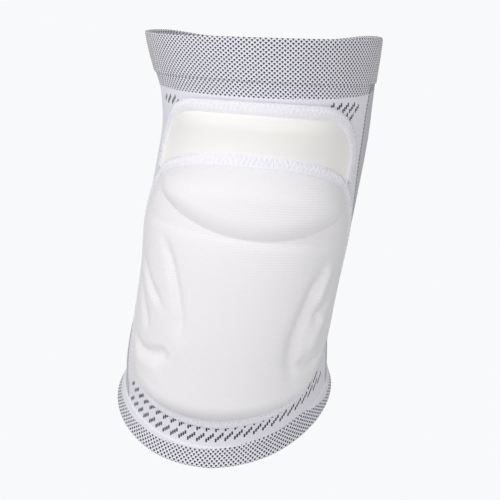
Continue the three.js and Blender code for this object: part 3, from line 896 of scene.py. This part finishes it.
def cuff_material():
    """Elastic nylon welt, knitted double: matt, ribbed by its stitches, with charcoal checks that
    read as grey from afar."""
    look = looks()
    material, tree = new_material("checked_nylon_welt_knit")
    values = knit_values(tree)
    run_steps(tree, values, [("shown", "MULTIPLY", "checks", MARK_STRENGTH)])
    base = mix_colour(tree, values["shown"], (*look.knit_white, 1), (*look.check_charcoal, 1))
    finish_material(tree, base, YARN_ROUGHNESS, YARN_SHEEN, values["knit"], *KNIT_BUMP)
    return material


def sleeve_material():
    """Elastic nylon jersey: a matt white field with the cuff's last checks and rows of dashes,
    and a greyer, slant-lined panel behind a stitched seam at both sides."""
    look = looks()
    material, tree = new_material("white_nylon_jersey_knit")
    values = knit_values(tree)
    values["marks"] = values["checks"]
    for row in DASH_ROWS:
        run_steps(tree, values, dash_steps(row, look.dash_pitch))
    run_steps(tree, values, [
        ("from_waist", "SUBTRACT", "v", SEAM_WAIST * MM),
        ("waist_square", "MULTIPLY", "from_waist", "from_waist"),
        ("seam_bend", "MULTIPLY_ADD", "waist_square", SEAM_BEND, SEAM_TURN),
        ("seam_side", "MINIMUM", "seam_bend", SEAM_LAST_TURN),
        ("right_off", "SUBTRACT", "u", "seam_side"),
        ("seam_low", "MULTIPLY_ADD", "v", SEAM_LOW_SLOPE, SEAM_LOW_TURN),
        ("seam_left", "MINIMUM", "seam_low", SEAM_LEFT_TURN),
        ("left_sum", "ADD", "u", "seam_left"),
        ("left_off", "MULTIPLY", "left_sum", -1.0),
        ("seam_off", "MAXIMUM", "right_off", "left_off"),
        ("panel", "GREATER_THAN", "seam_off", 0.0),
        ("seam_away", "ABSOLUTE", "seam_off"),
        ("seam_line", "LESS_THAN", "seam_away", SEAM_HALF_WIDTH),
        ("seam_row", "DIVIDE", "v", SEAM_STITCH * MM),
        ("seam_part", "FRACT", "seam_row"),
        ("seam_dash", "LESS_THAN", "seam_part", SEAM_STITCH_SHARE),
        ("seam", "MULTIPLY", "seam_line", "seam_dash"),
        ("seam_mark", "MULTIPLY", "seam", SEAM_STRENGTH),
        ("slant", "MULTIPLY_ADD", "v", 1 / (SLANT_PITCH * MM), "stitch_column"),
        ("slant_part", "FRACT", "slant"),
        ("slant_line", "LESS_THAN", "slant_part", SLANT_SHARE),
        ("slant_in", "MULTIPLY", "slant_line", "panel"),
        ("slant_mark", "MULTIPLY", "slant_in", SLANT_STRENGTH),
        ("dark_marks", "MULTIPLY", "marks", MARK_STRENGTH),
        ("fine_marks", "MAXIMUM", "seam_mark", "slant_mark"),
        ("all_marks", "MAXIMUM", "dark_marks", "fine_marks"),
    ])
    field = mix_colour(tree, values["panel"], (*look.knit_white, 1), (*look.panel_grey, 1))
    base = mix_colour(tree, values["all_marks"], field, (*look.check_charcoal, 1))
    finish_material(tree, base, YARN_ROUGHNESS, YARN_SHEEN, values["knit"], *KNIT_BUMP)
    return material


def cover_material():
    """Fine ribbed polyester knit over foam: matt, with soft ribs across the pad, drawn a little
    coarser than real so that they show."""
    look = looks()
    material, tree = new_material("ribbed_polyester_knit_cover")
    values = surface_values(tree)
    run_steps(tree, values, knit_relief_steps(1 / look.rib_pitch, look.rib_pitch))
    run_steps(tree, values, [
        ("rib_turn", "MULTIPLY", "v", 2 * np.pi / look.rib_pitch),
        ("rib", "SINE", "rib_turn"),
        ("relief", "MULTIPLY_ADD", "rib", COVER_RIB, "knit"),
    ])
    place = add_node(tree, "ShaderNodeTexCoord")
    cloud = add_node(tree, "ShaderNodeTexNoise", None, {"Vector": place.outputs["Object"], **COVER_CLOUD})
    values["cloud"] = cloud.outputs[0]
    run_steps(tree, values, [("shade", "MULTIPLY", "cloud", CLOUD_STRENGTH)])
    base = mix_colour(tree, values["shade"], (*look.cover_white, 1), (*look.knit_white, 1))
    finish_material(tree, base, YARN_ROUGHNESS, YARN_SHEEN, values["relief"], *COVER_BUMP)
    return material


def foam_material():
    """Moulded closed-cell EVA foam: a smooth warm skin with a faint grain and a broad soft gloss."""
    look = looks()
    material, tree = new_material("moulded_eva_foam_skin")
    place = add_node(tree, "ShaderNodeTexCoord")
    grain = add_node(tree, "ShaderNodeTexNoise", None, {"Vector": place.outputs["Object"], **FOAM_GRAIN})
    cloud = add_node(tree, "ShaderNodeTexNoise", None, {"Vector": place.outputs["Object"], **FOAM_CLOUD})
    values = {"cloud": cloud.outputs[0]}
    run_steps(tree, values, [("shade", "MULTIPLY", "cloud", CLOUD_STRENGTH)])
    base = mix_colour(tree, values["shade"], (*look.foam_ivory, 1), (*look.cover_white, 1))
    finish_material(tree, base, FOAM_ROUGHNESS, FOAM_SHEEN, grain.outputs[0], *FOAM_BUMP)
    return material


def tape_material(name, shade, pitch):
    """Narrow knitted polyester tape, or its thread: matt and white, with fine cords along it."""
    material, tree = new_material(name)
    values = surface_values(tree)
    run_steps(tree, values, knit_relief_steps(1 / pitch, pitch))
    finish_material(tree, (*shade, 1), YARN_ROUGHNESS, YARN_SHEEN, values["knit"], *TAPE_BUMP)
    return material


# Pieces


def cuff_profile(free_edge, heading, height, rows):
    """A doubled cuff's profile from its free edge along its outside and back along its inside."""
    s = sizes()
    outside, inside = s.cuff_proud, -s.knit_wall - s.cuff_proud
    hem = s.hem_round
    quarter = np.linspace(0, math.pi / 2, HEM_STEPS + 1)
    points = [(hem - hem * math.cos(t), outside - hem + hem * math.sin(t)) for t in quarter]
    points += [(along, outside) for along in np.linspace(hem, height - outside, rows)[1:]]
    points += [(height - outside + outside * math.sin(t), outside * math.cos(t)) for t in quarter[1:]]
    points += [(along, inside) for along in np.linspace(height, hem, rows // 2)]
    points += [(hem - hem * math.sin(t), inside + hem - hem * math.cos(t)) for t in quarter[1:]]
    return [(free_edge + heading * along, out) for along, out in points]


class KNEEPAD_OT_cuffs(bpy.types.Operator):
    """Builds the two doubled, checked cuffs"""

    bl_idname = "kneepad.cuffs"
    bl_label = "Cuffs"

    def execute(self, context):
        s = sizes()
        material = cuff_material()
        thigh = cuff_profile(0.0, 1, s.thigh_cuff_height, THIGH_CUFF_ROWS)
        calf = cuff_profile(s.sleeve_length, -1, s.calf_cuff_height, CALF_CUFF_ROWS)
        upper = ring_piece("thigh_cuff_knit", thigh[::-1], "thigh_cuff", material)
        lower = ring_piece("calf_cuff_knit", calf, "calf_cuff", material)
        return {"FINISHED"}


class KNEEPAD_OT_sleeve(bpy.types.Operator):
    """Builds the knitted sleeve between the cuffs"""

    bl_idname = "kneepad.sleeve"
    bl_label = "Sleeve"

    def execute(self, context):
        s = sizes()
        top = s.thigh_cuff_height - s.cuff_proud
        bottom = s.sleeve_length - s.calf_cuff_height + s.cuff_proud
        down = np.linspace(bottom, top, SLEEVE_ROWS + 1)
        inner_down = down[::-2]  # half the rows are enough inside
        profile = [(d, 0.0) for d in down] + [(d, -s.knit_wall) for d in inner_down]
        piece = ring_piece("sleeve_knit", profile, "knit_sleeve", sleeve_material())
        return {"FINISHED"}


class KNEEPAD_OT_upper_pad(bpy.types.Operator):
    """Builds the thin foam pad above the knee"""

    bl_idname = "kneepad.upper_pad"
    bl_label = "Upper pad"

    def execute(self, context):
        columns = upper_columns()
        thickness = upper_thickness(columns)
        foam = foam_material()
        piece = pad_piece("upper_pad_foam", columns, thickness, "upper_pad", foam)
        return {"FINISHED"}


class KNEEPAD_OT_lower_pad(bpy.types.Operator):
    """Builds the covered pad over the knee and the shin"""

    bl_idname = "kneepad.lower_pad"
    bl_label = "Lower pad"

    def execute(self, context):
        columns = lower_columns()
        thickness = lower_thickness(columns)
        cover = cover_material()
        piece = pad_piece("lower_pad_cover", columns, thickness, "lower_pad", cover)
        return {"FINISHED"}


def tape_height(share, path):
    """How high the tape stands at a share of its width, with what lifts it from below."""
    return sizes().edging_thickness * read_table(TAPE_PROFILE, share) + seat_lift(path)


def end_faces(count, around):
    """The two end faces of an open tube of rings, with so many points round each."""
    first = list(range(around))
    return [first[::-1], [(count - 1) * around + k for k in first]]


def tape_piece(name, path_at, overlap, pad_thickness, closed, node, material):
    """A tape lying on the tube. path_at gives its path at a distance from its pad, and its inner
    edge laps over the pad's own."""
    s = sizes()
    clearance = s.seat_clearance
    width = s.edging_width + clearance
    rows, distances = [], []
    for share, ledge in TAPE_LEDGES:
        over = path_at(-share * overlap)
        rows.append(on_front(over, clearance + pad_thickness(over) + ledge * MM))
        distances.append(-share * overlap)
    for share in np.linspace(0, 1, TAPE_STEPS + 1):
        path = path_at(share * width)
        rows.append(on_front(path, clearance + tape_height(share, path)))
        distances.append(share * width)
    rows += [on_front(path_at(width), clearance), on_front(path_at(0.0), clearance)]
    distances += [width, 0.0]
    points = np.stack(rows[::-1], axis=1)
    across = np.array(distances[::-1])
    run = np.linalg.norm(np.diff(points[:, 0], axis=0), axis=1)
    along = np.concatenate(([0.0], np.cumsum(run)))
    along = np.append(along, along[-1] + np.linalg.norm(points[-1, 0] - points[0, 0]))
    faces, i, j = grid_faces(len(points), len(across), closed, True)
    corners = np.stack((along[i], across[j % len(across)]), axis=-1).reshape(-1, 2).tolist()
    faces = faces.tolist()
    if not closed:
        faces += end_faces(len(points), len(across))
        corners += [[0.0, place] for place in across[::-1]]
        corners += [[along[-2], place] for place in across]
    return make_piece(name, points, faces, corners, node, material)


def even_path(path, step, closed):
    """The path again, with points at even steps, an even number of them where it is closed."""
    loop = np.vstack((path, path[:1])) if closed else path
    run = np.concatenate(([0.0], np.cumsum(np.linalg.norm(np.diff(loop, axis=0), axis=1))))
    count = 2 * round(run[-1] / step / 2)
    at = np.linspace(0, run[-1], count + 1)
    if closed:
        at = at[:-1]
    return np.column_stack((np.interp(at, run, loop[:, 0]), np.interp(at, run, loop[:, 1])))


def zigzag_piece(name, path_at, closed, material):
    """A row of zigzag thread along a tape, between two places across it. Each step of a stitch
    lies on its own path along the tape, part of the way between two points of that path."""
    s, look = sizes(), looks()
    width = s.edging_width + s.seat_clearance
    paths, lifts = [], []
    for share in np.linspace(*ZIGZAG_PLACES, ZIGZAG_STEPS + 1):
        path = path_at(share * width)
        paths.append(path)
        lifts.append(tape_height(share, path) + THREAD_SEAT * MM)
    count = len(paths[0])
    cycle = list(range(ZIGZAG_STEPS)) + list(range(ZIGZAG_STEPS, 0, -1))
    at = np.arange(count * ZIGZAG_STEPS if closed else (count - 1) * ZIGZAG_STEPS + 1)
    whole, part = at // ZIGZAG_STEPS, (at % ZIGZAG_STEPS)[:, None] / ZIGZAG_STEPS
    after = (whole + 1) % count if closed else np.minimum(whole + 1, count - 1)
    level = np.array(cycle)[at % len(cycle)]
    paths, lifts = np.array(paths), np.array(lifts)
    line = paths[level, whole] * (1 - part) + paths[level, after] * part
    lift = lifts[level, whole] + s.seat_clearance
    centre = on_front(line, lift)
    ahead = np.roll(centre, -1, axis=0) - np.roll(centre, 1, axis=0)
    if not closed:
        ahead[0], ahead[-1] = centre[1] - centre[0], centre[-1] - centre[-2]
    ahead /= np.linalg.norm(ahead, axis=1)[:, None]
    outward = on_front(line, lift + MM) - centre
    outward -= np.sum(outward * ahead, axis=1)[:, None] * ahead
    outward /= np.linalg.norm(outward, axis=1)[:, None]
    side = np.cross(ahead, outward)
    turns = np.linspace(0, 2 * np.pi, THREAD_SIDES, endpoint=False)[None, :, None]
    round_thread = np.cos(turns) * side[:, None] + np.sin(turns) * outward[:, None]
    points = centre[:, None] + s.thread_radius * round_thread
    faces, i, j = grid_faces(len(points), THREAD_SIDES, closed, True)
    corners = np.stack((i * look.zigzag_pitch / len(cycle), j * s.thread_radius), axis=-1)
    faces = faces.tolist()
    corners = corners.reshape(-1, 2).tolist()
    if not closed:
        faces += end_faces(len(points), THREAD_SIDES)
        corners += [[0.0, 0.0]] * (2 * THREAD_SIDES)
    return make_piece(name, points, faces, corners, None, material)


class KNEEPAD_OT_edgings(bpy.types.Operator):
    """Builds the two sewn edging tapes and their zigzag stitching"""

    bl_idname = "kneepad.edgings"
    bl_label = "Edgings"

    def execute(self, context):
        s, look = sizes(), looks()
        tape = tape_material("knitted_polyester_tape", look.tape_white, TAPE_CORD * MM)
        thread = tape_material("twisted_polyester_thread", look.thread_white, THREAD_CORD * MM)
        step = look.zigzag_pitch / 2
        lower_rim = even_path(rim_of(lower_columns()), step, True)
        upper_rim = even_path(upper_sides(upper_columns()), step, False)

        def lower_path(distance):
            return offset_path(lower_rim, distance, True)

        def upper_path(distance):
            path = offset_path(upper_rim, distance, False)
            end = read_reach(s.edging_width + s.seat_clearance + TAPE_END * MM, path[:, 0])
            return np.column_stack((path[:, 0], np.minimum(path[:, 1], end)))

        tape_piece(
            "lower_edging_tape", lower_path, s.lower_overlap, lower_thickness, True,
            "lower_pad_edging", tape,
        )
        zigzag_piece("lower_edging_zigzag", lower_path, True, thread)
        tape_piece(
            "upper_edging_tape", upper_path, s.upper_overlap, upper_thickness, False,
            "upper_pad_edging", tape,
        )
        zigzag_piece("upper_edging_zigzag", upper_path, False, thread)
        return {"FINISHED"}


def place_sweep(scene):
    """A pale floor that curves up into a backdrop. It is seen, and lights nothing."""
    material, tree = new_material("pale_studio_sweep")
    glow = add_node(tree, "ShaderNodeEmission", None, {"Color": (*looks().stage_white, 1)})
    add_node(tree, "ShaderNodeOutputMaterial", None, {"Surface": glow.outputs[0]})
    turn = np.linspace(0, math.pi / 2, SWEEP_STEPS + 1)
    curve = [(SWEEP_WALL_Y - SWEEP_ROUND * (1 - math.sin(t)), FLOOR_Z + SWEEP_ROUND * (1 - math.cos(t)))
             for t in turn]
    profile = [(-SWEEP_REACH, FLOOR_Z), *curve, (SWEEP_WALL_Y, SWEEP_REACH)]
    points = [(x, y, z) for y, z in profile for x in (-SWEEP_REACH, SWEEP_REACH)]
    faces = [(2 * i, 2 * i + 1, 2 * i + 3, 2 * i + 2) for i in range(len(profile) - 1)]
    mesh = bpy.data.meshes.new("studio_sweep")
    mesh.from_pydata(points, [], faces)
    mesh.materials.append(material)
    sweep = bpy.data.objects.new("studio_sweep", mesh)
    sweep.visible_diffuse = False
    sweep.visible_glossy = False
    sweep.visible_shadow = False
    scene.collection.objects.link(sweep)


def place_air(scene):
    """Even light from all round, behind a backdrop that is seen brighter than it lights."""
    world = bpy.data.worlds.new("studio_air")
    world.use_nodes = True
    tree = world.node_tree
    tree.nodes.clear()
    lit = add_node(tree, "ShaderNodeBackground", None, {"Color": AIR_COLOUR, "Strength": AIR_LIGHT})
    seen = add_node(tree, "ShaderNodeBackground", None, {"Color": (*looks().stage_white, 1)})
    ray = add_node(tree, "ShaderNodeLightPath")
    mixed = add_node(tree, "ShaderNodeMixShader", None, {
        0: ray.outputs["Is Camera Ray"],
        1: lit.outputs[0],
        2: seen.outputs[0],
    })
    add_node(tree, "ShaderNodeOutputWorld", None, {"Surface": mixed.outputs[0]})
    scene.world = world


def place_lights(scene):
    """A broad key light at the upper left and a fill at the front, both facing the pad."""
    for name, place, size, power in SOFTBOXES:
        light = bpy.data.lights.new(name, "AREA")
        light.size = size
        light.energy = power
        lamp = bpy.data.objects.new(name, light)
        lamp.location = place
        lamp.rotation_euler = (CAMERA_TARGET - Vector(place)).to_track_quat("-Z", "Y").to_euler()
        scene.collection.objects.link(lamp)


def place_camera(scene):
    """The camera that the photograph asks for, fitted to the pad's outline."""
    azimuth, elevation, roll = (math.radians(x) for x in CAMERA_ANGLES)
    back = Vector((
        math.sin(azimuth) * math.cos(elevation),
        -math.cos(azimuth) * math.cos(elevation),
        math.sin(elevation),
    ))
    right = (-back).cross(Vector((0, 0, 1))).normalized()
    up = right.cross(-back)
    rolled_right = math.cos(roll) * right + math.sin(roll) * up
    rolled_up = -math.sin(roll) * right + math.cos(roll) * up
    turned = Matrix((rolled_right, rolled_up, back)).transposed().to_4x4()
    data = bpy.data.cameras.new("camera")
    data.sensor_width = SENSOR_WIDTH
    data.lens = PIXELS_PER_METRE * CAMERA_DISTANCE / PHOTO_WIDTH * SENSOR_WIDTH
    camera = bpy.data.objects.new("camera", data)
    camera.matrix_world = Matrix.Translation(CAMERA_TARGET + back * CAMERA_DISTANCE) @ turned
    scene.collection.objects.link(camera)
    scene.camera = camera


class KNEEPAD_OT_stage(bpy.types.Operator):
    """Sets the pale floor, the soft studio lights and the camera"""

    bl_idname = "kneepad.stage"
    bl_label = "Stage"

    def execute(self, context):
        place_sweep(context.scene)
        place_air(context.scene)
        place_lights(context.scene)
        place_camera(context.scene)
        context.scene.view_settings.view_transform = "Standard"
        return {"FINISHED"}


STEPS = (
    KNEEPAD_OT_cuffs,
    KNEEPAD_OT_sleeve,
    KNEEPAD_OT_upper_pad,
    KNEEPAD_OT_lower_pad,
    KNEEPAD_OT_edgings,
    KNEEPAD_OT_stage,
)


class KNEEPAD_PT_panel(bpy.types.Panel):
    """Lists the knee pad's pieces, sizes and looks"""

    bl_idname = "KNEEPAD_PT_panel"
    bl_label = "Knee pad"
    bl_space_type = "VIEW_3D"
    bl_region_type = "UI"
    bl_category = "Knee pad"

    def draw(self, context):
        for step in STEPS:
            self.layout.operator(step.bl_idname)
        for group in (context.scene.knee_pad_sizes, context.scene.knee_pad_looks):
            box = self.layout.box()
            for name in group.bl_rna.properties.keys():
                if name not in ("rna_type", "name"):
                    box.prop(group, name)


CLASSES = (KneePadSizes, KneePadLooks, *STEPS, KNEEPAD_PT_panel)


def register():
    for item in CLASSES:
        bpy.utils.register_class(item)
    bpy.types.Scene.knee_pad_sizes = PointerProperty(type=KneePadSizes)
    bpy.types.Scene.knee_pad_looks = PointerProperty(type=KneePadLooks)


def unregister():
    del bpy.types.Scene.knee_pad_looks
    del bpy.types.Scene.knee_pad_sizes
    for item in reversed(CLASSES):
        bpy.utils.unregister_class(item)


def main():
    register()
    bpy.ops.kneepad.cuffs()
    bpy.ops.kneepad.sleeve()
    bpy.ops.kneepad.upper_pad()
    bpy.ops.kneepad.lower_pad()
    bpy.ops.kneepad.edgings()
    bpy.ops.kneepad.stage()


if __name__ == "__main__":
    main()
